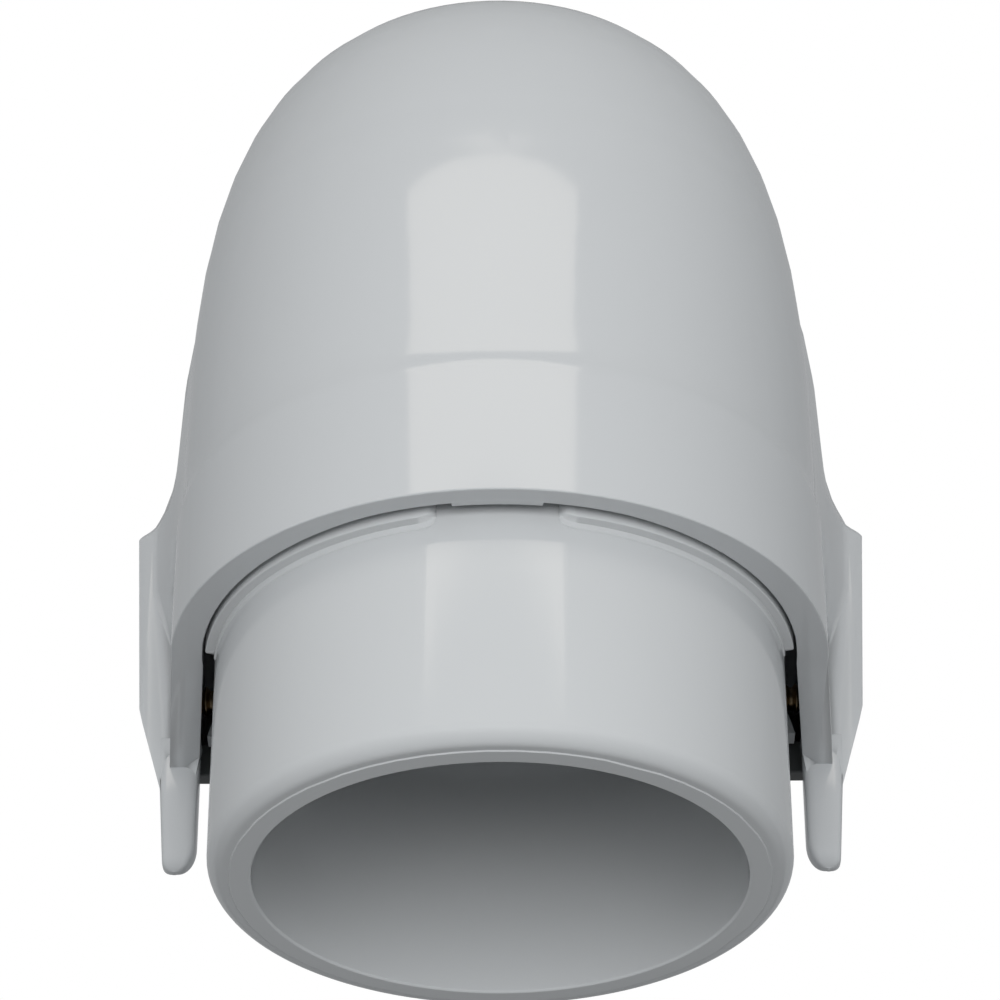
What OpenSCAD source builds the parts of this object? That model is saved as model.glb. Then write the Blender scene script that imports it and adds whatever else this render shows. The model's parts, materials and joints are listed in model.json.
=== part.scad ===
// Service entrance weatherhead for 1-1/4 inch rigid plastic conduit.
// A socket body cements to the top of the mast, a hood screws to it from
// both sides, and a dark plate in the mouth keeps the service wires apart.
// Origin: centre of the socket's open end. +Z is up, +Y is towards the mouth.

/* [Conduit socket] */
// Outside diameter of the socket hub
hub_od = 50; // [46:0.5:60]
// Bore of the socket, a slip fit over the conduit
socket_d = 42.4; // [35:0.1:44]
// Depth of the socket up to its stop
socket_depth = 23.8; // [19:0.1:27]
// Clear way through the throat above the stop
throat_d = 35; // [28:0.5:36]
// Wall of the throat
throat_wall = 3; // [2:0.1:4]
// Thickness of the shoulder that the conduit stops against
stop_t = 3; // [2:0.1:4]
// Rounding of the socket's open end
end_round = 1.8; // [0.5:0.1:2.5]

/* [Deck and guides of the socket body] */
// Height of the deck's top, where the hood sits
deck_z = 33.4; // [32:0.1:36]
// Thickness of the deck
deck_t = 2.5; // [2:0.1:3]
// Reach of the deck in front of the hub
deck_reach = 2.3; // [2:0.1:4]
// How far the guide ribs stand out from the hub
guide_proud = 0.9; // [0.5:0.1:1.2]
// How far the guide ribs reach above the hood's rim
guide_h = 3; // [1.5:0.1:5]
// How far the guide ribs reach below the hood's rim
guide_drop = 0.3; // [0.1:0.1:2]
// Angle from the back at which the guide ribs begin
guide_from = 13.5; // [5:0.5:20]
// Angle from the back at which the guide ribs end
guide_to = 83; // [70:0.5:88]
// Drop of the side fins below the deck
fin_drop = 5; // [4:0.1:7]
// Thickness of the side fins
fin_t = 2; // [1.5:0.1:3]

/* [Hood] */
// Height of the hood's rim above the socket's open end
rim_z = 21.3; // [18:0.05:24]
// Gap between the hub and the inside of the rim
rim_gap = 1.9; // [1.5:0.1:4]
// Wall of the hood
hood_wall = 2; // [1.4:0.1:2.4]
// Height of the plain collar at the rim
collar_h = 12.1; // [8:0.05:14]
// Step in from the collar to the shell above it
shoulder_step = 0.45; // [0.3:0.05:1.2]
// Height over which that step runs out
shoulder_h = 2.6; // [1:0.1:4]
// Height of the hood's top
hood_top = 86.3; // [78:0.1:104]

/* [Cheeks and mouth] */
// Distance from the hub's front back to the step where the cheeks begin
cheek_back = 7; // [5:0.5:9]
// How much the hood widens from the collar to the cheeks, each side
flare = 1.6; // [1:0.1:3]
// How far the cheeks stand out past that, each side
cheek_proud = 3.6; // [2:0.1:5]
// How much the cheeks narrow down to their lower corners, each side
cheek_taper = 1.05; // [0:0.05:1.2]
// Height of the cheeks' lower corners
cheek_low_z = 27.5; // [24:0.1:30]
// Height where the cheeks' hollow top meets the shell
cheek_neck_z = 55; // [50:0.1:60]
// Radius of that hollow
cheek_hollow_r = 12.5; // [8:0.5:16]
// Height of the level line that the front is rounded about
front_axis_z = 48; // [44:0.5:52]
// Height of the mouth's edge at the cheeks
mouth_z = 18.5; // [16:0.5:22]
// Slope of the mouth's edge
mouth_slope = 40; // [36:0.5:46]

/* [Tabs] */
// Height of the tabs' lower ends
tab_z = 11; // [6:0.1:14]
// Width of the tabs
tab_w = 3.6; // [2.5:0.1:5]
// Thickness of the tabs from back to front
tab_t = 2.8; // [2:0.1:4]

/* [Wire plate] */
// Thickness of the wire plate
plate_t = 1.8; // [1.6:0.1:2]
// Distance from the mouth's plane up to the plate
plate_h = 1.2; // [1.1:0.1:1.3]
// Distance from the hub's front back to the plate's rear edge
plate_tuck = 2; // [1.5:0.1:2.3]
// Height of the plate's rear lip over the mouth's plane
plate_lip_up = 0.6; // [0:0.1:1]
// Diameter of the wire holes
wire_d = 11; // [8:0.5:13]
// Distance between the wire holes
wire_pitch = 17; // [14:0.5:18]
// Gap left round the plate
plate_gap = 0.3; // [0.1:0.05:0.5]
// Thickness of the nubs that the plate snaps between
nub_t = 0.8; // [0.6:0.1:0.9]

/* [Cover screws] */
// Diameter of the screw's shank
screw_d = 2.9; // [2.5:0.1:3.5]
// Diameter of the screw's head
screw_head_d = 5.6; // [5:0.1:6]
// Height of the screw's head
screw_head_h = 1.8; // [1.2:0.1:2.2]
// Length of the screw under its head
screw_l = 13; // [11:0.5:16]
// Distance from the hub's front back to the screws
screw_back = 1.5; // [0:0.5:2.5]
// Distance from the deck's top down to the screws
screw_drop = 1.9; // [0.4:0.1:2.2]

/* [Hidden] */
$fn = 96;
eps = 0.01;
far = 150;
crown_steps = 12;
turn_steps = 12;
// Places of the flared sections, as parts of the way to the cheeks
flare_places = [0, 0.3, 0.55, 0.75, 0.88, 0.95, 1];
// Heights over the front's axis of the cheeks' first points
low_steps = [0, 1.2, 2.8, 4.6, 7];
// Part of the way to the cheeks where their fairing starts to grow
fairing_start = 0.55;
// Squareness of the crown over the hub, over the cheeks, and of the front
back_square = 3.2;
cheek_square = 3.5;
front_square = 2.8;

// Fits
leg_gap = 0.25;
hub_r = hub_od / 2;
socket_r = socket_d / 2;
throat_r = throat_d / 2;
cheek_y = hub_r - cheek_back;
plate_back = hub_r - plate_tuck;
screw_y = hub_r - screw_back;
screw_z = deck_z - screw_drop;
neck_r = throat_r + throat_wall;
shoulder_z = socket_depth + stop_t;
deck_low = deck_z - deck_t;
deck_front = hub_r + deck_reach;
guide_r = hub_r + guide_proud;
collar_in = hub_r + rim_gap;
collar_r = collar_in + hood_wall;
collar_top = rim_z + collar_h;
shell_r = collar_r - shoulder_step;
flare_x = collar_r + flare;
neck_x = flare_x + 0.55;
cheek_x = neck_x + cheek_proud;
cheek_low_x = cheek_x - cheek_taper;
front_r = hood_top - front_axis_z;
shell_z = collar_top + shoulder_h;
leg_x = guide_r + leg_gap;
leg_t = collar_r - leg_x;
side_shift = 1.3;
flare_z = 45;

deck_gap = 0.3;
lug_r = 3.2;
lug_l = 9;
lug_x = flare_x - leg_t - 2.2;
fin_x = flare_x - leg_t - 0.4;
thread_gap = 0.05;
hole_gap = 0.3;
seat_x = cheek_low_x - screw_head_h - 1;
boss_x = flare_x - leg_t + 0.6;
boss_r = screw_head_d / 2 + 1.6;

// ---------- outlines of the hood ----------

// Point of a squared ellipse, a from 0 at the side to 90 at the top
function squared(w, h, n, a) = [w * pow(cos(a), 2 / n), h * pow(sin(a), 2 / n)];

// Half width of such an ellipse at height z
function squared_width(w, h, n, z) = w * pow(1 - pow(max(z, 0) / h, n), 1 / n);

// Its points from height z to the top, set in by d
function crown(w, h, n, z, d) =
    let (a = asin(pow(z / h, n / 2)))
    [for (i = [1:crown_steps]) squared(w - d, h - d, n, a + (90 - a) * i / crown_steps)];

// Half width over the hub's axis: the collar, the shoulder, then the shell
function back_width(z) = z <= collar_top ? collar_r
    : z <= shell_z ? shell_r
    : squared_width(shell_r, hood_top - shell_z, back_square, z - shell_z);

// Half width where the cheeks begin
function neck_width(z) = z <= collar_top ? flare_x
    : z < flare_z
    ? flare_x + (neck_x - flare_x) * (z - collar_top) / (flare_z - collar_top)
    : squared_width(neck_x, hood_top - flare_z, cheek_square, z - flare_z);

// How far the shell runs out into the cheeks: a hollow arc over the front's
// axis, and a fairing under it that fades towards the collar
function hollow(z) = z >= cheek_neck_z || z <= shell_z ? 0
    : z >= front_axis_z
    ? cheek_hollow_r - sqrt(pow(cheek_hollow_r, 2) - pow(cheek_neck_z - z, 2))
    : hollow(front_axis_z) * (1 - pow((front_axis_z - z) / (front_axis_z - shell_z), 2));

// Heights of an upright outline's points under the crown
function heights(low) = concat(
    [low, collar_top, shell_z, 40, 44],
    [for (h = low_steps) front_axis_z + h]);

// Half outline over the hub's axis, as [half width, height], set in by d
function back_section(low, d) = concat(
    [[0, low]],
    [for (z = heights(low)) [back_width(z) - d, z]],
    [for (p = crown(shell_r, hood_top - shell_z, back_square, cheek_neck_z - shell_z, d))
        p + [0, shell_z]]);

// Half outline where the cheeks begin
function flare_section(low, d) = concat(
    [[0, low]],
    [for (z = heights(low)) [neck_width(z) - d, z]],
    [for (p = crown(neck_x, hood_top - flare_z, cheek_square, cheek_neck_z - flare_z, d))
        p + [0, flare_z]]);

// The same outline on both sides of the centre line
function both_sides(half) = concat(
    half,
    [for (i = [len(half) - 2:-1:1]) [-half[i][0], half[i][1]]]);

// Two outlines of as many points blended, t from 0 to 1
function blend(a, b, t) = [for (i = [0:len(a) - 1]) a[i] * (1 - t) + b[i] * t];

// Section of the flared middle, t from 0 over the axis to 1 at the cheeks:
// the collar runs straight, the shell eases out
function middle_section(low, d, t) =
    let (
        back = back_section(low, d),
        flare = flare_section(low, d),
        grown = pow(max(t - fairing_start, 0) / (1 - fairing_start), 3))
    [for (i = [0:len(back) - 1])
        let (
            z = flare[i][1],
            s = z > collar_top ? t * t * (3 - 2 * t) : t,
            out = d > 0 || i == 0 ? 0 : hollow(z) * grown)
        back[i] * (1 - s) + flare[i] * s + [out, 0]];

// Upright half outline over the front's axis at the cheeks, as [height, half width]
function cheek_outline(d) = concat(
    [for (h = low_steps)
        [h, neck_width(front_axis_z + h) + hollow(front_axis_z + h) - d]],
    [for (p = crown(neck_x, hood_top - flare_z, cheek_square, cheek_neck_z - flare_z, d))
        [p[1] + flare_z - front_axis_z, p[0]]]);

// Level half outline of the front, as [distance forward, half width]
function front_outline(d) = concat(
    [cheek_outline(d)[0]],
    [for (i = [1:len(low_steps) - 1])
        [low_steps[i], squared_width(cheek_x, front_r, front_square, low_steps[i]) - d]],
    [for (p = crown(cheek_x, front_r, front_square, low_steps[len(low_steps) - 1], d))
        [p[1], p[0]]]);

// ---------- solids that several pieces share ----------

// Solid through sections of as many points that stand across Y
module loft(sections, places) {
    n = len(sections[0]);
    last = len(sections) - 1;
    polyhedron(
        points = [for (k = [0:last]) for (p = sections[k]) [p[0], places[k], p[1]]],
        faces = concat(
            [concat([0], [for (i = [n - 1:-1:1]) i])],
            [for (k = [0:last - 1]) for (i = [0:n - 1])
                [k * n + i, k * n + (i + 1) % n, (k + 1) * n + (i + 1) % n, (k + 1) * n + i]],
            [[for (i = [0:n - 1]) last * n + i]]));
}

// Solid swept down and round a level axis, from one outline to another
module turned_front(from, to) {
    half = len(from) - 1;
    n = 2 * half - 1;
    last = turn_steps + 1;
    function ring(k) =
        let (
            a = 90 * k / turn_steps,
            o = blend(from, to, pow(sin(a), 2)),
            all = concat(
                [for (i = [1:half]) o[i]],
                [for (i = [half - 1:-1:1]) [o[i][0], -o[i][1]]]))
        [for (p = all) [p[1], p[0] * sin(a), p[0] * cos(a)]];
    polyhedron(
        points = concat(
            [[from[0][1], 0, 0], [-from[0][1], 0, 0]],
            [for (k = [0:last]) each ring(k)]),
        faces = concat(
            [concat([0, 1], [for (i = [n - 1:-1:0]) 2 + i])],
            [for (k = [0:last - 1]) [0, 2 + k * n, 2 + (k + 1) * n]],
            [for (k = [0:last - 1]) for (i = [0:n - 2])
                [2 + k * n + i, 2 + k * n + i + 1, 2 + (k + 1) * n + i + 1, 2 + (k + 1) * n + i]],
            [for (k = [0:last - 1]) [1, 2 + (k + 1) * n + n - 1, 2 + k * n + n - 1]],
            [concat([1, 0], [for (i = [0:n - 1]) 2 + last * n + i])]));
}

// Extrudes a side view, drawn as [y, z], along X
module across_x() {
    rotate([90, 0, 90])
        linear_extrude(far, center = true)
            children();
}

// Places a shape on the mouth's slope: +Y runs up along it, +Z off it, inwards
module on_slope() {
    translate([0, cheek_y, mouth_z])
        rotate([mouth_slope, 0, 0])
            children();
}

// Half width that the trim leaves the cheeks at distance h off the mouth's plane
function trim_x(h, d) =
    cheek_low_x - d
    - (cheek_low_x - flare_x - 0.6) * (1 - h / (cheek_low_z - mouth_z) / cos(mouth_slope));

// Trims the cheeks, set in by d: sides that taper down, and a flat along the mouth's edge
module cheek_trim(d) {
    edge = (cheek_low_z - mouth_z) * cos(mouth_slope);
    full = (front_axis_z - mouth_z) * cos(mouth_slope);
    on_slope()
        rotate([90, 0, 0])
            linear_extrude(2 * far, center = true)
                polygon([
                    [cheek_x - d, far], [cheek_x - d, full], [cheek_low_x - d, edge],
                    [trim_x(-edge, d), -edge], [-trim_x(-edge, d), -edge],
                    [-cheek_low_x + d, edge], [-cheek_x + d, full], [-cheek_x + d, far]]);
}

// Everything in front of the step at the cheeks, set in by d
module front_form(d, low) {
    plan = front_outline(d);
    intersection() {
        union() {
            translate([0, cheek_y, front_axis_z])
                turned_front(cheek_outline(d), plan);
            translate([0, cheek_y, low])
                linear_extrude(front_axis_z - low)
                    polygon(concat(
                        [for (p = plan) [p[1], p[0]]],
                        [for (i = [len(plan) - 2:-1:0]) [-plan[i][1], plan[i][0]]]));
        }
        cheek_trim(d);
    }
}

// Hood form set in by d: a dome turned about the hub's axis, a flared
// middle, and a front that turns down over the cheeks
module hood_form(d, low) {
    rotate([0, 0, 180])
        rotate_extrude(angle = 180)
            polygon(back_section(low, d));
    loft(
        [for (t = flare_places) both_sides(middle_section(low, d, t))],
        [for (t = flare_places) t * (cheek_y + d)]);
    if (d == 0)
        front_form(0, low);
    else
        intersection() {
            front_form(d, low);
            translate([-far / 2, cheek_y + d, 0])
                cube(far);
        }
}

// Side view of the space above the rim and the mouth
module mouth_view() {
    polygon([
        [-far, rim_z], [cheek_y, rim_z], [cheek_y, mouth_z],
        [far, mouth_z + (far - cheek_y) * tan(mouth_slope)], [far, 2 * far], [-far, 2 * far]]);
}

// Runs a shape along X at the screw's place on the right side, from x outwards
module at_screw(x) {
    translate([x, screw_y, screw_z])
        rotate([0, 90, 0])
            children();
}

module both() {
    children();
    mirror([1, 0, 0]) children();
}

// ---------- socket body ----------

// Section of a guide rib: a soft lower edge over a small fillet
module rib_section(low, top) {
    soft = guide_proud / 2;
    polygon(concat(
        [[hub_r - 1, low - guide_proud]],
        [for (a = [10:20:90]) [hub_r + soft * (1 - cos(a)), low - guide_proud * (1 - sin(a))]],
        [for (a = [30:30:90]) [guide_r - soft * (1 - sin(a)), low + soft * (1 - cos(a))]],
        [[guide_r, top], [hub_r - 1, top]]));
}

// Rib round one side of the back, with a round nose at each end
module guide_rib() {
    low = rim_z - guide_drop;
    top = rim_z + guide_h;
    nose_r = guide_proud - 0.1;
    rotate([0, 0, guide_from - 90])
        rotate_extrude(angle = guide_to - guide_from)
            rib_section(low, top);
    for (a = [guide_from, guide_to])
        rotate([0, 0, a - 90])
            translate([hub_r, 0, low + 0.1]) {
                cylinder(r1 = nose_r * 0.7, r2 = nose_r, h = nose_r / 3);
                translate([0, 0, nose_r / 3])
                    cylinder(r = nose_r, h = top - low - 0.3 - nose_r / 3);
            }
}

module side_fin() {
    back = cheek_y + hood_wall + 0.2;
    low = deck_low - fin_drop;
    translate([0, back + fin_t, 0])
        rotate([90, 0, 0])
            linear_extrude(fin_t)
                polygon([
                    [socket_r, low], [fin_x, low], [fin_x - 1.4, deck_low],
                    [fin_x - 1.4, deck_low + 1], [socket_r, deck_low + 1]]);
}

module hub_solid() {
    rotate_extrude()
        difference() {
            union() {
                square([hub_r, shoulder_z]);
                square([neck_r, deck_z]);
            }
            difference() {
                translate([hub_r - end_round, -eps])
                    square([end_round + eps, end_round + eps]);
                translate([hub_r - end_round, end_round])
                    circle(end_round);
            }
        }
}

module deck() {
    translate([0, 0, deck_low])
        linear_extrude(deck_t) {
            circle((deck_z > collar_top ? shell_r - hood_wall : collar_in) - deck_gap);
            translate([-lug_x, 0])
                square([2 * lug_x, deck_front]);
        }
}

module hub_body() {
    color("silver")
        difference() {
            union() {
                hub_solid();
                deck();
                both() {
                    guide_rib();
                    side_fin();
                    at_screw(lug_x - lug_l) cylinder(r = lug_r, h = lug_l);
                }
            }
            translate([0, 0, -1])
                cylinder(r = socket_r, h = socket_depth + 1);
            cylinder(r = throat_r, h = far);
            both()
                at_screw(lug_x - lug_l + 1) cylinder(r = screw_d / 2 + thread_gap, h = lug_l);
        }
}

// ---------- hood ----------

// Thicker wall beside the hub, under the deck, that thins out round the back
module side_wall() {
    translate([0, 0, rim_z])
        linear_extrude(deck_low - deck_gap - rim_z)
            difference() {
                union() {
                    intersection() {
                        circle(collar_r - hood_wall / 2);
                        translate([1, -collar_r])
                            square([far, collar_r]);
                    }
                    polygon([
                        [0, -1], [collar_r - hood_wall / 2, 0],
                        [flare_x - hood_wall / 2, cheek_y], [0, cheek_y]]);
                }
                translate([-side_shift, 0])
                    circle(leg_x + side_shift);
                polygon([[0, 0], [leg_x, 0], [leg_x + flare, cheek_y + eps], [0, cheek_y + eps]]);
            }
}

// Tab that hangs from the step beside the hub, rounder towards the hub
module tab() {
    in_x = flare_x - leg_t;
    out_x = in_x + tab_w;
    back = cheek_y - 0.4;
    soft = tab_t / 4;
    intersection() {
        translate([0, back + tab_t, 0])
            rotate([90, 0, 0])
                linear_extrude(tab_t)
                    polygon(concat(
                        [for (a = [0:15:90])
                            [in_x + tab_w / 2 * (1 - cos(a)), tab_z + tab_t * (1 - sin(a))]],
                        [for (a = [0:15:90])
                            [out_x - 0.6 - tab_w / 4 * (1 - sin(a)), tab_z + tab_w / 4 * (1 - cos(a))]],
                        [[out_x, mouth_z + 2], [out_x, mouth_z + 6], [in_x, mouth_z + 6]]));
        across_x()
            polygon(concat(
                [for (a = [0:15:90]) [back + soft * (1 - cos(a)), tab_z + soft * (1 - sin(a))]],
                [for (a = [0:15:90])
                    [back + tab_t - soft * (1 - sin(a)), tab_z + soft * (1 - cos(a))]],
                [[back + tab_t, far], [back, far]]));
    }
}

// Shelf inside the back of the hood that sits on the deck
module seat() {
    difference() {
        translate([0, 0, deck_z])
            linear_extrude(2)
                intersection() {
                    circle(shell_r - hood_wall / 2);
                    translate([-far / 2, -far])
                        square([far, far]);
                }
        cylinder(r = collar_in - 2, h = far);
    }
}

// Boss inside a cheek that the screw's head is sunk into
module boss() {
    intersection() {
        at_screw(boss_x) cylinder(r = boss_r, h = cheek_x - hood_wall / 3 - boss_x);
        cheek_trim(0);
    }
}

// Where the front's inside lies along the slope, at distance h off the mouth's plane
function front_inside(h) =
    (front_axis_z - mouth_z) * sin(mouth_slope) + sqrt(
        pow(front_r - hood_wall, 2) - pow((front_axis_z - mouth_z) * cos(mouth_slope) - h, 2));

// Nubs on the hood's inside that the wire plate's edge snaps between
module plate_nubs() {
    on_slope()
        for (h = [plate_h - plate_gap - nub_t, plate_h + plate_t + plate_gap]) {
            translate([-4, front_inside(h) - 1.2, h])
                cube([8, 2, nub_t]);
            both()
                translate([trim_x(h, hood_wall) - 1.2, plate_back - 2, h])
                    cube([2, 4, nub_t]);
        }
}

module hood() {
    color("lightgray")
        difference() {
            union() {
                difference() {
                    intersection() {
                        hood_form(0, mouth_z - 2);
                        across_x() mouth_view();
                    }
                    hood_form(hood_wall, mouth_z - 3);
                }
                seat();
                plate_nubs();
                both() {
                    side_wall();
                    tab();
                    boss();
                }
            }
            both() {
                at_screw(boss_x - 1) cylinder(r = screw_d / 2 + hole_gap, h = 20);
                at_screw(seat_x) cylinder(r = screw_head_d / 2 + 0.4, h = 20);
            }
        }
}

// ---------- wire plate ----------

// Lip that hangs from the plate's rear edge
module plate_lip() {
    edge_z = mouth_z + (plate_back - cheek_y) * tan(mouth_slope);
    translate([-far / 2, plate_back, edge_z + plate_lip_up])
        cube([far, plate_t, (plate_h + plate_t) / cos(mouth_slope) - plate_lip_up]);
}

// Slab parallel with the mouth's plane, as far back as the lip
module plate_slab() {
    intersection() {
        on_slope()
            translate([-far / 2, 0, plate_h])
                cube([far, far, plate_t]);
        translate([-far / 2, plate_back, 0])
            cube(far);
    }
}

module wire_plate() {
    color("dimgray")
        difference() {
            intersection() {
                front_form(hood_wall + plate_gap, mouth_z - 2);
                union() {
                    plate_lip();
                    plate_slab();
                }
            }
            cylinder(r = hub_r + plate_gap, h = deck_low);
            both()
                at_screw(lug_x) cylinder(r = boss_r + plate_gap, h = 20);
            on_slope()
                for (i = [-1:1])
                    translate([i * wire_pitch, front_r * 0.8, 0])
                        cylinder(r = wire_d / 2, h = 20);
        }
}

// ---------- screws ----------

module cover_screw() {
    at_screw(seat_x) cylinder(r = screw_head_d / 2, h = screw_head_h);
    at_screw(seat_x - screw_l) cylinder(r = screw_d / 2, h = screw_l + 0.5);
}

module cover_screws() {
    color("darkgoldenrod")
        both() cover_screw();
}

hub_body();
hood();
wire_plate();
cover_screws();
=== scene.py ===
"""Looks for the service entrance weatherhead: moulded grey PVC, a dark wire plate, plated screws.

The frame is in metres, so sizes are written as millimetres times MM. The back of the hood is at -Y,
its wire mouth at +Y, and the socket's open end at z 0.
"""

import json
import math

import bmesh
import bpy
from mathutils import Matrix, Vector


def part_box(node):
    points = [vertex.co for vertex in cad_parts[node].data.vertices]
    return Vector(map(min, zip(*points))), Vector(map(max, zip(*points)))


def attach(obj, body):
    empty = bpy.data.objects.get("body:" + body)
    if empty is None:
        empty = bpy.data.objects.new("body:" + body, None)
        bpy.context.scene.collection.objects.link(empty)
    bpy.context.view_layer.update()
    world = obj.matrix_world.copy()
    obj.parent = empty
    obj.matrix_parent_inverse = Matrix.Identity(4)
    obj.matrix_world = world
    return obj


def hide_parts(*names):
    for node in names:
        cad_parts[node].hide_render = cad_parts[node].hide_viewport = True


MM = 0.001

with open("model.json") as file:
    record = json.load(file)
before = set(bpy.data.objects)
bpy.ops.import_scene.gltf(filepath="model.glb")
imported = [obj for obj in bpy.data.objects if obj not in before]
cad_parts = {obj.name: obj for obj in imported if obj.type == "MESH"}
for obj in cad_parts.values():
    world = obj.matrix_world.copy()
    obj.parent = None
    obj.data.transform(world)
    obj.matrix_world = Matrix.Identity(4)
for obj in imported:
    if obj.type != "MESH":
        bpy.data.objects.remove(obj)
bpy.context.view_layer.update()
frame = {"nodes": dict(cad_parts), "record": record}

# ---------------------------------------------------------------- sizes

# socket body
CONDUIT_SOCKET = next(m for m in frame["record"]["mounts"] if m["name"] == "conduit_socket")
SOCKET_R = CONDUIT_SOCKET["dims"]["r_mm"] * MM
HUB_R = SOCKET_R + 3.8 * MM
FACE_R = HUB_R - 1.8 * MM
PARTING_STEP = 0.12 * MM
PARTING_LEDGE = 0.06 * MM
LEAD_IN = 0.16 * MM
GUIDE_LOW = 21 * MM
GUIDE_FROM = math.radians(13.5)
GUIDE_TO = math.radians(83)
GUIDE_PAST_END = 0.8 * MM

# hood
TAB_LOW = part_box("hood")[0][2]
TAB_END = 2.8 * MM
TAB_THICK = 2.8 * MM
TAB_X = 29.4 * MM
TAB_Y = 19 * MM
RIM_Z = TAB_LOW + 10.3 * MM
WALL_X = 29.4 * MM
CHEEK_X = 33.19 * MM
CHEEK_Y = 18 * MM
MOUTH_Y = 18 * MM
MOUTH_Z = 18.5 * MM
MOUTH_SLOPE = math.radians(40)
LEG_INNER_X = 26.35 * MM
LEG_BEND_X = 27.5 * MM
LEG_SPREAD = 1.6 / 18
LEG_LIFT = 0.9 * MM
CORNER_SINK = 1.3 * MM

# screws
SCREWS_LOW, SCREWS_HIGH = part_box("cover_screws")
HEAD_X = SCREWS_HIGH[0]
SCREW_Y = (SCREWS_LOW[1] + SCREWS_HIGH[1]) / 2
SCREW_Z = (SCREWS_LOW[2] + SCREWS_HIGH[2]) / 2
SCREW_LENGTH = 14.8 * MM

# largest rounds on the edges of each moulding
HOOD_ROUND = 0.3 * MM
BODY_ROUND = 0.25 * MM
PLATE_ROUND = 0.2 * MM


# ---------------------------------------------------------------- small helpers


def near(value, wanted, within):
    """Whether a value is within a tolerance of the wanted one."""
    return abs(value - wanted) < within


def ease(share):
    """Soft step from 0 to 1, level at both ends."""
    share = max(0.0, min(1.0, share))
    return share * share * (3 - 2 * share)


def quarter(share):
    """Height of a quarter circle at a share of its width, both from 0 to 1."""
    return math.sqrt(max(0.0, 1 - (1 - min(1.0, share)) ** 2))


def both_ends(edge, test):
    """Whether both ends of an edge pass a test on their place."""
    return all(test(v.co) for v in edge.verts)


# ---------------------------------------------------------------- mesh helpers


def merged_mesh(node):
    """A bmesh of a CAD node, its triangles joined and its flat faces made whole."""
    bm = bmesh.new()
    bm.from_mesh(frame["nodes"][node].data)
    bmesh.ops.remove_doubles(bm, verts=bm.verts, dist=0.002 * MM)
    bmesh.ops.dissolve_limit(
        bm, angle_limit=math.radians(0.4), verts=bm.verts, edges=bm.edges, delimit=set()
    )
    return bm


def make_piece(bm, name):
    """An object at the origin from a bmesh."""
    mesh = bpy.data.meshes.new(name)
    bm.to_mesh(mesh)
    bm.free()
    piece = bpy.data.objects.new(name, mesh)
    bpy.context.scene.collection.objects.link(piece)
    return piece


def give(piece, material):
    """Gives a piece its one material."""
    piece.data.materials.clear()
    piece.data.materials.append(material)


def next_row(bm, row, edges):
    """Extrudes a row of edges once; gives the new verts in the old order, and the new edges."""
    new = bmesh.ops.extrude_edge_only(bm, edges=edges)["geom"]
    fresh = [g for g in new if isinstance(g, bmesh.types.BMVert)]
    row = [next(v for v in fresh if any(e.other_vert(v) == old for e in v.link_edges)) for old in row]
    return row, [g for g in new if isinstance(g, bmesh.types.BMEdge)]


def weigh_edges(bm, largest, rule):
    """Stores how much of the largest round each edge gets, and marks the rest sharp.

    The rule gives a radius for an edge, 0 for a sharp one and None for one left soft.
    """
    least_angle = math.radians(28)
    least_length = 0.12 * MM
    layer = bm.edges.layers.float.new("bevel_weight_edge")
    for edge in bm.edges:
        if len(edge.link_faces) != 2 or edge.calc_face_angle() < least_angle:
            continue
        radius = rule(edge, (edge.verts[0].co + edge.verts[1].co) / 2)
        if radius is None:
            continue
        if radius and edge.calc_length() > least_length:
            edge[layer] = min(1, radius / largest)
        else:
            edge.smooth = False


def round_edges(piece, largest):
    """Smooth faces that read as moulded, and a round on every edge by its weight."""
    piece.data.shade_smooth()
    bevel = piece.modifiers.new("round_edges", "BEVEL")
    bevel.affect = "EDGES"
    bevel.limit_method = "WEIGHT"
    bevel.width = largest
    bevel.segments = 4
    bevel.profile = 0.5
    bevel.material = -1
    bevel.use_clamp_overlap = False
    bevel.miter_outer = "MITER_ARC"
    level = piece.modifiers.new("level_faces", "WEIGHTED_NORMAL")
    level.mode = "FACE_AREA"
    level.weight = 60
    level.keep_sharp = True


# ---------------------------------------------------------------- materials


def new_group(name, inputs, outputs):
    """An empty shader group with named inputs and outputs."""
    group = bpy.data.node_groups.new(name, "ShaderNodeTree")
    for label, kind, value in inputs:
        socket = group.interface.new_socket(name=label, in_out="INPUT", socket_type=kind)
        socket.default_value = value
    for label, kind in outputs:
        group.interface.new_socket(name=label, in_out="OUTPUT", socket_type=kind)
    entry = group.nodes.new("NodeGroupInput")
    leave = group.nodes.new("NodeGroupOutput")
    return group, entry, leave


def math_node(tree, operation, first=None, second=None, value=0.0):
    """A Math node fed by one or two outputs, with a plain second value where only one is given."""
    node = tree.nodes.new("ShaderNodeMath")
    node.operation = operation
    node.inputs[1].default_value = value
    for output, socket in zip((first, second), node.inputs):
        if output:
            tree.links.new(output, socket)
    return node


def noise_node(tree, place, scale, detail):
    """A Noise texture at a place, its scale in waves a metre."""
    noise = tree.nodes.new("ShaderNodeTexNoise")
    noise.inputs["Scale"].default_value = scale
    noise.inputs["Detail"].default_value = detail
    tree.links.new(place, noise.inputs["Vector"])
    return noise


def swing(tree, noise, amount):
    """The noise about its middle, times an amount."""
    centred = math_node(tree, "SUBTRACT", noise.outputs["Fac"], value=0.5)
    return math_node(tree, "MULTIPLY", centred.outputs[0], amount)


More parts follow.
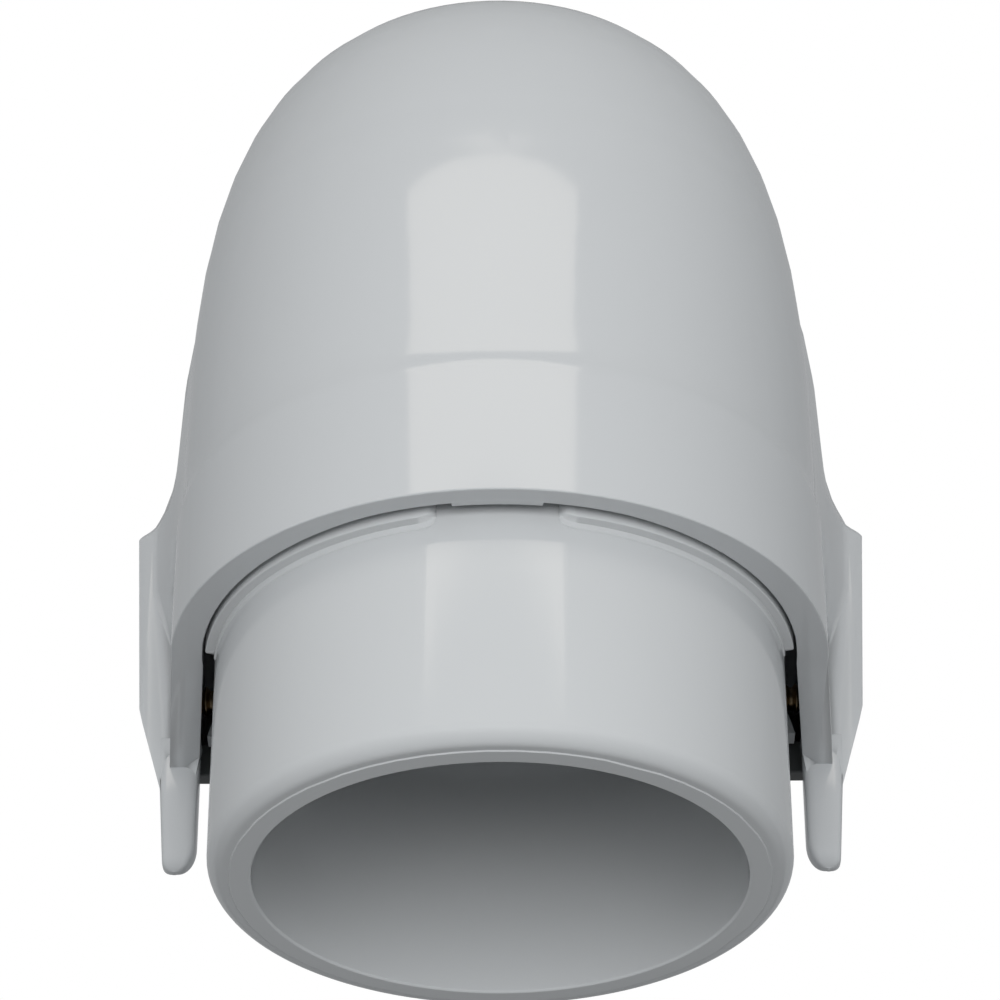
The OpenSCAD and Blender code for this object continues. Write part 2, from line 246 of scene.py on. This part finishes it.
def build_moulded_plastic():
    """Faint cloudiness, gloss variation and orange peel of a moulded surface."""
    tree, entry, leave = new_group(
        "moulded_plastic",
        [
            ("Color", "NodeSocketColor", (0.5, 0.5, 0.5, 1)),
            ("Cloudiness", "NodeSocketFloat", 0.03),
            ("Roughness", "NodeSocketFloat", 0.3),
            ("Gloss variation", "NodeSocketFloat", 0.05),
            ("Peel", "NodeSocketFloat", 0.02),
        ],
        [
            ("Color", "NodeSocketColor"),
            ("Roughness", "NodeSocketFloat"),
            ("Normal", "NodeSocketVector"),
        ],
    )
    link = tree.links.new
    place = tree.nodes.new("ShaderNodeTexCoord").outputs["Object"]

    cloud = swing(tree, noise_node(tree, place, 45, 3), entry.outputs["Cloudiness"])
    level = math_node(tree, "ADD", cloud.outputs[0], value=1.0)
    tint = tree.nodes.new("ShaderNodeVectorMath")
    tint.operation = "SCALE"
    link(entry.outputs["Color"], tint.inputs[0])
    link(level.outputs[0], tint.inputs["Scale"])
    link(tint.outputs[0], leave.inputs["Color"])

    smudge = swing(tree, noise_node(tree, place, 130, 5), entry.outputs["Gloss variation"])
    rough = math_node(tree, "ADD", smudge.outputs[0], entry.outputs["Roughness"])
    rough.use_clamp = True
    link(rough.outputs[0], leave.inputs["Roughness"])

    peel = noise_node(tree, place, 420, 2)
    bump = tree.nodes.new("ShaderNodeBump")
    bump.inputs["Distance"].default_value = 0.02 * MM
    link(entry.outputs["Peel"], bump.inputs["Strength"])
    link(peel.outputs["Fac"], bump.inputs["Height"])
    link(bump.outputs["Normal"], leave.inputs["Normal"])
    return tree


MOULDED_PLASTIC = build_moulded_plastic()


def new_material(name):
    """A material with its node tree and its Principled shader."""
    material = bpy.data.materials.new(name)
    material.use_nodes = True
    return material, material.node_tree, material.node_tree.nodes["Principled BSDF"]


def plastic(name, color, roughness, cloudiness=0.02, peel=0.06):
    """A moulded plastic with its own colour and gloss."""
    material, tree, shader = new_material(name)
    surface = tree.nodes.new("ShaderNodeGroup")
    surface.node_tree = MOULDED_PLASTIC
    surface.inputs["Color"].default_value = (*color, 1)
    surface.inputs["Cloudiness"].default_value = cloudiness
    surface.inputs["Roughness"].default_value = roughness
    surface.inputs["Gloss variation"].default_value = 0.05
    surface.inputs["Peel"].default_value = peel
    tree.links.new(surface.outputs["Color"], shader.inputs["Base Color"])
    tree.links.new(surface.outputs["Roughness"], shader.inputs["Roughness"])
    tree.links.new(surface.outputs["Normal"], shader.inputs["Normal"])
    shader.inputs["IOR"].default_value = 1.54
    shader.inputs["Specular IOR Level"].default_value = 0.7
    return material


def plated_steel(name, color, roughness):
    """Zinc plated steel with a passivated tint that drifts over the surface."""
    material, tree, shader = new_material(name)
    place = tree.nodes.new("ShaderNodeTexCoord").outputs["Object"]
    drift = noise_node(tree, place, 300, 4)
    tints = tree.nodes.new("ShaderNodeValToRGB")
    dark, bright = tints.color_ramp.elements
    dark.position = 0.35
    dark.color = (*color, 1)
    bright.position = 0.7
    bright.color = (*[min(1, c * 1.5) for c in color], 1)
    tree.links.new(drift.outputs["Fac"], tints.inputs["Fac"])
    tree.links.new(tints.outputs["Color"], shader.inputs["Base Color"])
    shader.inputs["Metallic"].default_value = 1
    shader.inputs["Roughness"].default_value = roughness
    return material


GREY_PVC = plastic("grey_pvc", (0.55, 0.569, 0.583), 0.1)
# The body's grey is the hood's grey PVC made about 3 per cent lighter: painted light that stands in for more
# light on the hub.
GREY_PVC_BODY_PAINTED_BRIGHTER = plastic("grey_pvc_body_painted_brighter", (0.565, 0.584, 0.596), 0.1)
DARK_PLASTIC = plastic("dark_plastic", (0.05, 0.055, 0.055), 0.5, cloudiness=0.1, peel=0.8)
PLATED_STEEL = plated_steel("plated_steel", (0.42, 0.32, 0.2), 0.34)


# ---------------------------------------------------------------- hood

# how far the flared wall is faired out towards the cheeks, as (height, distance) in mm
FAIRING = [(21.3, 0), (33.4, 0.2), (36, 0.8), (40, 0.9), (44, 0.27), (48, 0)]


def fairing_at(z):
    """Distance that the wall is faired out at height z, straight between the rows of FAIRING."""
    for (low, start), (high, end) in zip(FAIRING, FAIRING[1:]):
        if low * MM <= z <= high * MM:
            return (start + (end - start) * (z / MM - low) / (high - low)) * MM
    return 0.0


def fair_cheeks(bm):
    """Carries the hollow of the cheeks further down, so that the step runs out softly."""
    start, first, last = 0.55, 0.6, 1.001
    for vert in bm.verts:
        x, y, z = vert.co
        along = y / CHEEK_Y
        if first <= along <= last and z >= RIM_Z and WALL_X <= abs(x) < CHEEK_X:
            push = fairing_at(z) * ((along - start) / (1 - start)) ** 3
            vert.co.x = math.copysign(min(CHEEK_X, abs(x) + push), x)


def sink_corners(bm):
    """Rounds the hollow down towards the upper corner of each cheek."""
    low, high, front = 47.9 * MM, 56 * MM, 26 * MM
    for vert in bm.verts:
        x, y, z = vert.co
        if low < z < high and y < front:
            outward = ease((abs(x) / MM - 30) / 3.2)
            backward = 1 - ease((y / MM - 20) / 6)
            vert.co.z = z - CORNER_SINK * outward * backward


def tab_section(rise):
    """Inner side, outer side and thickness of a tab at a height above its lower end."""
    inner_x, outer_x, outermost = 27.75 * MM, 30.75 * MM, 31.35 * MM
    corner, root, root_height = 0.9 * MM, 8.5 * MM, 4 * MM
    end = quarter(rise / TAB_END)
    inner = inner_x + 1.8 * MM * (1 - end)
    outer = min(outermost, outer_x + 0.07 * rise - corner * (1 - quarter(rise / corner)))
    thick = TAB_THICK * max(0.1732, end) ** 0.8 - 0.9 * MM * ease((rise - root) / root_height)
    return inner, outer, thick


def squarish(part):
    """A sine or cosine pushed outwards, which makes a circle a soft rectangle."""
    return math.copysign(abs(part) ** (1 / 2.2), part)


def soft_tab(bm, side):
    """A tab with rounded sides and a soft lower end, built up ring by ring."""
    rises = [TAB_END * (1 - math.cos(math.radians(k * 7.5))) for k in range(13)]
    rises += [rise * MM for rise in (4.5, 7, 8.5, 9.5, 10.5, 11.5, 12.5)]
    ring = bmesh.ops.create_circle(bm, cap_ends=True, segments=40, radius=1)["verts"]
    edges = list({e for v in ring for e in v.link_edges})
    around = [math.atan2(v.co.y, v.co.x) for v in ring]
    made = list(ring)
    for count, rise in enumerate(rises):
        if count:
            ring, edges = next_row(bm, ring, edges)
            made += ring
        inner, outer, thick = tab_section(rise)
        for vert, angle in zip(ring, around):
            x = (inner + outer) / 2 * side + (outer - inner) / 2 * squarish(math.cos(angle))
            y = thick / 2 * squarish(math.sin(angle))
            vert.co = (x, TAB_Y + y, TAB_LOW + rise)
    bmesh.ops.contextual_create(bm, geom=edges)
    bmesh.ops.recalc_face_normals(bm, faces=list({f for v in made for f in v.link_faces}))


def tuck_tabs(bm):
    """Draws the plain tabs in, so that the soft ones cover them."""
    tuck = 0.45
    for vert in bm.verts:
        x, y, z = vert.co
        on_tab = z < 18.9 * MM and abs(x) > 27.5 * MM and y < 20.6 * MM
        on_root = near(y, TAB_Y - TAB_THICK / 2, 0.06 * MM) and 30.1 * MM < abs(x) < 31.5 * MM
        if on_tab:
            vert.co.x = math.copysign(TAB_X + (abs(x) - TAB_X) * tuck, x)
            vert.co.y = TAB_Y + (y - TAB_Y) * tuck
            vert.co.z = z + 2.5 * MM if z < 15 * MM else z
        elif z < 25 * MM and on_root:
            vert.co.y = CHEEK_Y + 0.02 * MM


def on_rim(point, within=0.01 * MM):
    """Whether a point lies on the rim's lower face."""
    return near(point.z, RIM_Z, within)


def on_mouth(point):
    """Whether a point lies on the slope of the wire mouth."""
    up = (point.z - MOUTH_Z) * math.cos(MOUTH_SLOPE)
    return near(up, (point.y - MOUTH_Y) * math.sin(MOUTH_SLOPE), 0.02 * MM)


def slope_legs(bm):
    """Turns up the inner half of the rim's face beside the hub."""
    level = 0.005 * MM
    for side in (1, -1):
        faces = [f for f in bm.faces if all(on_rim(v.co, level) for v in f.verts)]
        edges = list({e for f in faces for e in f.edges})
        verts = list({v for f in faces for v in f.verts})
        bmesh.ops.bisect_plane(
            bm, geom=faces + edges + verts, dist=0.001 * MM,
            plane_co=(side * LEG_BEND_X, 0, 0), plane_no=(1, -side * LEG_SPREAD, 0),
        )
    for vert in bm.verts:
        x, y, z = vert.co
        if abs(x) < LEG_INNER_X + LEG_SPREAD * max(0, y) and on_rim(vert.co, level):
            vert.co.z = z + LEG_LIFT * ease((y / MM + 4) / 12)


def rim_pad(bm):
    """Small pad inside the rim at the middle of the back."""
    half_angle = 3.7 / 26
    base = bmesh.ops.create_grid(bm, x_segments=8, y_segments=1, size=1)["verts"]
    grown = bmesh.ops.extrude_face_region(bm, geom=list({f for v in base for f in v.link_faces}))
    top = [v for v in grown["geom"] if isinstance(v, bmesh.types.BMVert)]
    for vert in top:
        vert.co.z = 1
    for vert in base + top:
        angle = math.asin(max(-1, min(1, vert.co.x)) * half_angle)
        radius = (26.9 + 0.45 * vert.co.y) * MM
        z = RIM_Z + (2.2 * vert.co.z - 0.01) * MM
        vert.co = (radius * math.sin(angle), -radius * math.cos(angle), z)
    bmesh.ops.recalc_face_normals(bm, faces=list({f for v in base + top for f in v.link_faces}))


def hood_round(edge, middle):
    """Radius of the round on one of the hood's edges: the rim, its pad, the mouth, the cheeks."""
    x, y, z = abs(middle.x), middle.y, middle.z
    on_leg = 1 * MM < y < 17.5 * MM and x < 30 * MM
    on_bend = near(x, LEG_BEND_X + LEG_SPREAD * y, 0.25 * MM)
    on_pad = math.hypot(x, y) < 27.2 * MM and y < -20 * MM
    on_lip = y > 18.3 * MM and edge.calc_length() > 0.5 * MM
    on_flare = x > WALL_X and 24.6 * MM < z < 58 * MM and y < 24 * MM
    on_cheek = x > 33.55 * MM or y > 20.5 * MM or z < 27 * MM
    if both_ends(edge, on_rim):
        if on_leg:
            return 0.0 if on_bend else None
        return 0.15 * MM
    if on_pad:
        return 0.08 * MM
    if both_ends(edge, on_mouth):
        return 0.2 * MM if on_lip else 0.0
    return None if on_flare and not on_cheek else 0.0


def moulded_hood():
    """The hood with its soft tabs, turned legs and rim pad."""
    bm = merged_mesh("hood")
    fair_cheeks(bm)
    sink_corners(bm)
    tuck_tabs(bm)
    slope_legs(bm)
    rim_pad(bm)
    weigh_edges(bm, HOOD_ROUND, hood_round)
    for side in (1, -1):
        soft_tab(bm, side)
    return make_piece(bm, "moulded_hood")


hood = moulded_hood()
round_edges(hood, HOOD_ROUND)
give(hood, GREY_PVC)
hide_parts("hood")
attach(hood, "root")

# ---------------------------------------------------------------- socket body

# a guide rib's section as (distance out from the hub, height over its lower edge), in mm
RIB = [
    (-0.2, -0.7), (0, -0.66), (0.09, -0.56), (0.13, -0.4), (0.13, -0.15), (0.14, -0.04), (0.8, 0.02),
    (0.87, 0.08), (0.9, 0.18), (0.9, 1.8), (0.9, 2.85), (0.86, 3.08), (0.75, 3.24), (0.55, 3.3), (-0.2, 3.3),
]
# rows of a rib's nose, as distances from its end in mm
NOSE = [0, 0.02, 0.07, 0.15, 0.26, 0.4, 0.57, 0.77, 1, 1.3, 1.6]


def tuck_guides(bm):
    """Draws the plain guide ribs in, so that the soft ones cover them."""
    for vert in bm.verts:
        x, y, z = vert.co
        r = math.hypot(x, y)
        if y < 0 and HUB_R + 0.02 * MM < r < HUB_R + 1.2 * MM and 20 * MM < z < 24.6 * MM:
            tucked = (HUB_R + (r - HUB_R) * 0.3) / r
            vert.co = (x * tucked, y * tucked, max(z, GUIDE_LOW + 0.2 * MM))


def soft_guide(bm, side):
    """A guide rib swept round the back of the hub, with soft ends."""
    proud = max(out for out, height in RIB)
    start = GUIDE_FROM - GUIDE_PAST_END / HUB_R
    length = (GUIDE_TO + GUIDE_PAST_END / HUB_R - start) * HUB_R / MM
    between = length - 2 * NOSE[-1]
    places = NOSE + [NOSE[-1] + between * k / 24 for k in range(1, 24)]
    places += [length - place for place in reversed(NOSE)]
    row = [bm.verts.new((0, 0, 0)) for _ in RIB]
    first = edges = [bm.edges.new(pair) for pair in zip(row, row[1:] + row[:1])]
    made = list(row)
    for count, place in enumerate(places):
        if count:
            row, edges = next_row(bm, row, edges)
            made += row
        from_end = min(place, length - place)
        full = quarter(from_end / proud)
        lift = 0.8 * (1 - quarter(from_end / NOSE[-1]))
        angle = start + place * MM / HUB_R
        for vert, (out, height) in zip(row, RIB):
            r = HUB_R + min(out, out * full) * MM
            z = GUIDE_LOW + (height + (lift if height < 1.8 else 0.5 * (full - 1))) * MM
            vert.co = (side * r * math.sin(angle), -r * math.cos(angle), z)
    for end in (first, edges):
        bmesh.ops.contextual_create(bm, geom=end)
    bmesh.ops.recalc_face_normals(bm, faces=list({f for v in made for f in v.link_faces}))


def loop_at(bm, radius):
    """Edges of the circle at this radius on the socket's open end."""
    def on_circle(point):
        return near(math.hypot(point.x, point.y), radius, 0.06 * MM) and near(point.z, 0, 0.004 * MM)
    return [e for e in bm.edges if both_ends(e, on_circle)]


def grow_loop(bm, edges, radius, z):
    """Extrudes a level circle of edges to a new radius and height; gives the new edges."""
    made = bmesh.ops.extrude_edge_only(bm, edges=edges)["geom"]
    for vert in (g for g in made if isinstance(g, bmesh.types.BMVert)):
        out = Vector((vert.co.x, vert.co.y)).normalized() * radius
        vert.co = (out.x, out.y, z)
    return [g for g in made if isinstance(g, bmesh.types.BMEdge)]


def dress_end(bm):
    """The socket's end: a lead-in chamfer at the bore and a fine parting step at the round."""
    face = [f for f in bm.faces if all(near(v.co.z, 0, 0.004 * MM) for v in f.verts)]
    outer = loop_at(bm, FACE_R)
    inner = loop_at(bm, SOCKET_R)
    bmesh.ops.delete(bm, geom=face, context="FACES_ONLY")
    for vert in {v for e in inner for v in e.verts}:
        vert.co.z = LEAD_IN
    for vert in bm.verts:
        if vert.co.z < PARTING_STEP and math.hypot(vert.co.x, vert.co.y) > FACE_R - PARTING_LEDGE:
            vert.co.z = PARTING_STEP
    ledge = grow_loop(bm, outer, FACE_R - PARTING_LEDGE, PARTING_STEP)
    step = grow_loop(bm, ledge, FACE_R - 2 * PARTING_LEDGE, 0)
    lead = grow_loop(bm, inner, SOCKET_R + LEAD_IN, 0)
    bmesh.ops.bridge_loops(bm, edges=step + lead)
    bmesh.ops.recalc_face_normals(bm, faces=bm.faces)


def body_round(edge, middle):
    """Radius of the round on one of the body's edges: its end, its deck, its throat."""
    r = math.hypot(middle.x, middle.y)
    on_end = middle.z < 1 * MM
    on_parting = r > FACE_R - 0.2 * MM
    on_deck = middle.z > 29 * MM and r > 26.2 * MM
    in_throat = r < 22 * MM
    if on_end:
        return 0.04 * MM if on_parting else 0.06 * MM
    if edge.calc_length() < 0.4 * MM:
        return 0.0
    if on_deck:
        return BODY_ROUND
    return 0.15 * MM if in_throat else 0.0


def moulded_body():
    """The socket body with its soft guide ribs and dressed end."""
    bm = merged_mesh("hub_body")
    tuck_guides(bm)
    dress_end(bm)
    weigh_edges(bm, BODY_ROUND, body_round)
    for side in (1, -1):
        soft_guide(bm, side)
    return make_piece(bm, "moulded_body")


body = moulded_body()
round_edges(body, BODY_ROUND)
give(body, GREY_PVC_BODY_PAINTED_BRIGHTER)
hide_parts("hub_body")
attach(body, "root")

# ---------------------------------------------------------------- wire plate


def plate_round(edge, middle):
    """Radius of the round on one of the plate's edges: none on the short ones."""
    return PLATE_ROUND if edge.calc_length() > 0.4 * MM else 0.0


bm = merged_mesh("wire_plate")
weigh_edges(bm, PLATE_ROUND, plate_round)
plate = make_piece(bm, "moulded_wire_plate")
round_edges(plate, PLATE_ROUND)
give(plate, DARK_PLASTIC)
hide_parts("wire_plate")
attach(plate, "root")

# ---------------------------------------------------------------- screws


def screw_outline(low, high):
    """Half outline of a screw as (distance along, radius) in mm: a pan head, a thread, a point."""
    core, crest, pitch = 1.05, 1.44, 1.0
    head = high - 1.8
    rows = [(high, 0), (high, 1.9), (high - 0.12, 2.3), (high - 0.4, 2.62), (high - 0.8, 2.79)]
    rows += [(head, 2.79), (head, 1.3)]
    at = head - 0.6
    while at > low + 2.4:
        rows += [(at, core), (at - 0.33, crest), (at - 0.41, crest), (at - 0.74, core)]
        at -= pitch
    return rows + [(low + 1.2, core), (low + 0.25, 0.5), (low, 0)]


def screw_blank():
    """A screw on the right, turned about its own line, with no recess."""
    bm = bmesh.new()
    rows = screw_outline((HEAD_X - SCREW_LENGTH) / MM, HEAD_X / MM)
    verts = [bm.verts.new((along * MM, SCREW_Y + radius * MM, SCREW_Z)) for along, radius in rows]
    edges = [bm.edges.new(pair) for pair in zip(verts, verts[1:])]
    bmesh.ops.spin(
        bm, geom=verts + edges, cent=(0, SCREW_Y, SCREW_Z), axis=(1, 0, 0),
        angle=2 * math.pi, steps=32, use_merge=True,
    )
    bmesh.ops.remove_doubles(bm, verts=bm.verts, dist=0.001 * MM)
    bmesh.ops.recalc_face_normals(bm, faces=bm.faces)
    return make_piece(bm, "screw_blank")


def cross_recess():
    """The shape of the cross recess: two bars that narrow towards its bottom."""
    depth, long, wide, narrowing = 1.9 * MM, 2.9 * MM, 0.62 * MM, 0.6
    bm = bmesh.new()
    for width, height in ((long, wide), (wide, long)):
        place = Matrix.Translation((HEAD_X, SCREW_Y, SCREW_Z))
        size = Matrix.Diagonal((depth, width, height, 1))
        for vert in bmesh.ops.create_cube(bm, size=1, matrix=place @ size)["verts"]:
            if vert.co.x < HEAD_X:
                vert.co.y = SCREW_Y + (vert.co.y - SCREW_Y) * narrowing
                vert.co.z = SCREW_Z + (vert.co.z - SCREW_Z) * narrowing
    return make_piece(bm, "recess")


def cover_screw(side):
    """The mesh of one cover screw with a cross recess in its head."""
    blank = screw_blank()
    recess = cross_recess()
    cut = blank.modifiers.new("recess", "BOOLEAN")
    cut.operation = "DIFFERENCE"
    cut.solver = "EXACT"
    cut.use_self = True
    cut.object = recess
    graph = bpy.context.evaluated_depsgraph_get()
    bm = bmesh.new()
    bm.from_mesh(blank.evaluated_get(graph).to_mesh())
    for piece in (blank, recess):
        bpy.data.objects.remove(piece)
    if side < 0:
        bmesh.ops.scale(bm, vec=(-1, 1, 1), verts=bm.verts)
        bmesh.ops.recalc_face_normals(bm, faces=bm.faces)
    mesh = bpy.data.meshes.new("screw")
    bm.to_mesh(mesh)
    bm.free()
    return mesh


bm = bmesh.new()
for side in (1, -1):
    bm.from_mesh(cover_screw(side))
screws = make_piece(bm, "threaded_screws")
screws.data.shade_smooth()
screws.data.set_sharp_from_angle(angle=math.radians(40))
give(screws, PLATED_STEEL)
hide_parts("cover_screws")
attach(screws, "root")

# ---------------------------------------------------------------- camera

TARGET = Vector((0.075, 0, 38.85)) * MM
DISTANCE = 350 * MM
LOOK_UP = math.radians(32.84)
TURN = math.radians(0.3)
ROLL = math.radians(-0.18)


def add_camera():
    """A camera below the part and behind it, looking up at the target."""
    flat = math.cos(LOOK_UP)
    forward = Vector((-math.sin(TURN) * flat, math.cos(TURN) * flat, math.sin(LOOK_UP)))
    right = Vector((math.cos(TURN), math.sin(TURN), 0))
    above = right.cross(forward)
    stand = Matrix((right, above, -forward)).transposed() @ Matrix.Rotation(ROLL, 3, "Z")
    lens = bpy.data.cameras.new("camera")
    lens.lens = 139.28
    lens.sensor_width = 36
    lens.clip_start = 0.01
    camera = bpy.data.objects.new("camera", lens)
    camera.matrix_world = Matrix.Translation(TARGET - forward * DISTANCE) @ stand.to_4x4()
    bpy.context.scene.collection.objects.link(camera)
    bpy.context.scene.camera = camera


add_camera()

# ---------------------------------------------------------------- floor, world and lamps

FLOOR_Z = -0.75


def add_world():
    """An even sky that lights the part, shown as plain white to the camera."""
    world = bpy.data.worlds.new("studio")
    bpy.context.scene.world = world
    world.use_nodes = True
    tree = world.node_tree
    sky = tree.nodes["Background"]
    sky.inputs["Color"].default_value = (0.96, 0.98, 1, 1)
    sky.inputs["Strength"].default_value = 0.42
    white = tree.nodes.new("ShaderNodeBackground")
    white.inputs["Color"].default_value = (1, 1, 1, 1)
    white.inputs["Strength"].default_value = 1
    path = tree.nodes.new("ShaderNodeLightPath")
    mix = tree.nodes.new("ShaderNodeMixShader")
    tree.links.new(path.outputs["Is Camera Ray"], mix.inputs["Fac"])
    tree.links.new(sky.outputs[0], mix.inputs[1])
    tree.links.new(white.outputs[0], mix.inputs[2])
    tree.links.new(mix.outputs[0], tree.nodes["World Output"].inputs["Surface"])


def pale_floor():
    """A grey floor, lightened where the camera sees it."""
    material, tree, shader = new_material("pale_floor")
    shader.inputs["Base Color"].default_value = (0.5, 0.5, 0.5, 1)
    shader.inputs["Roughness"].default_value = 0.6
    path = tree.nodes.new("ShaderNodeLightPath")
    paleness = math_node(tree, "MULTIPLY", path.outputs["Is Camera Ray"], value=0.6)
    shader.inputs["Emission Color"].default_value = (1, 1, 1, 1)
    tree.links.new(paleness.outputs[0], shader.inputs["Emission Strength"])
    return material


def softbox(name, azimuth, elevation, distance, width, height, power, color=(1, 1, 1), glossy=True):
    """A rectangular lamp aimed at the part; azimuth 0 is behind the camera, positive to its right."""
    a, e = math.radians(azimuth), math.radians(elevation)
    way = Vector((math.sin(a) * math.cos(e), -math.cos(a) * math.cos(e), math.sin(e)))
    data = bpy.data.lights.new(name, "AREA")
    data.shape = "RECTANGLE"
    data.size = width
    data.size_y = height
    data.energy = power
    data.color = color
    lamp = bpy.data.objects.new(name, data)
    lamp.visible_camera = False
    lamp.visible_glossy = glossy
    lamp.location = TARGET + way * distance
    lamp.rotation_euler = way.to_track_quat("Z", "Y").to_euler()
    bpy.context.scene.collection.objects.link(lamp)


add_world()

bm = bmesh.new()
bmesh.ops.create_grid(bm, x_segments=1, y_segments=1, size=4)
bmesh.ops.translate(bm, verts=bm.verts, vec=(0, 0, FLOOR_Z))
floor = make_piece(bm, "floor")
give(floor, pale_floor())

softbox("key", -2, 39.8, 1.2, 1.06, 0.37, 1.64, (1, 0.93, 0.84))
softbox("fill", 0, -15, 0.8, 0.8, 0.4, 4.5, glossy=False)
softbox("low_fill", 0, -34, 0.6, 0.4, 0.4, 0.13, glossy=False)

bpy.context.scene.view_settings.view_transform = "Standard"
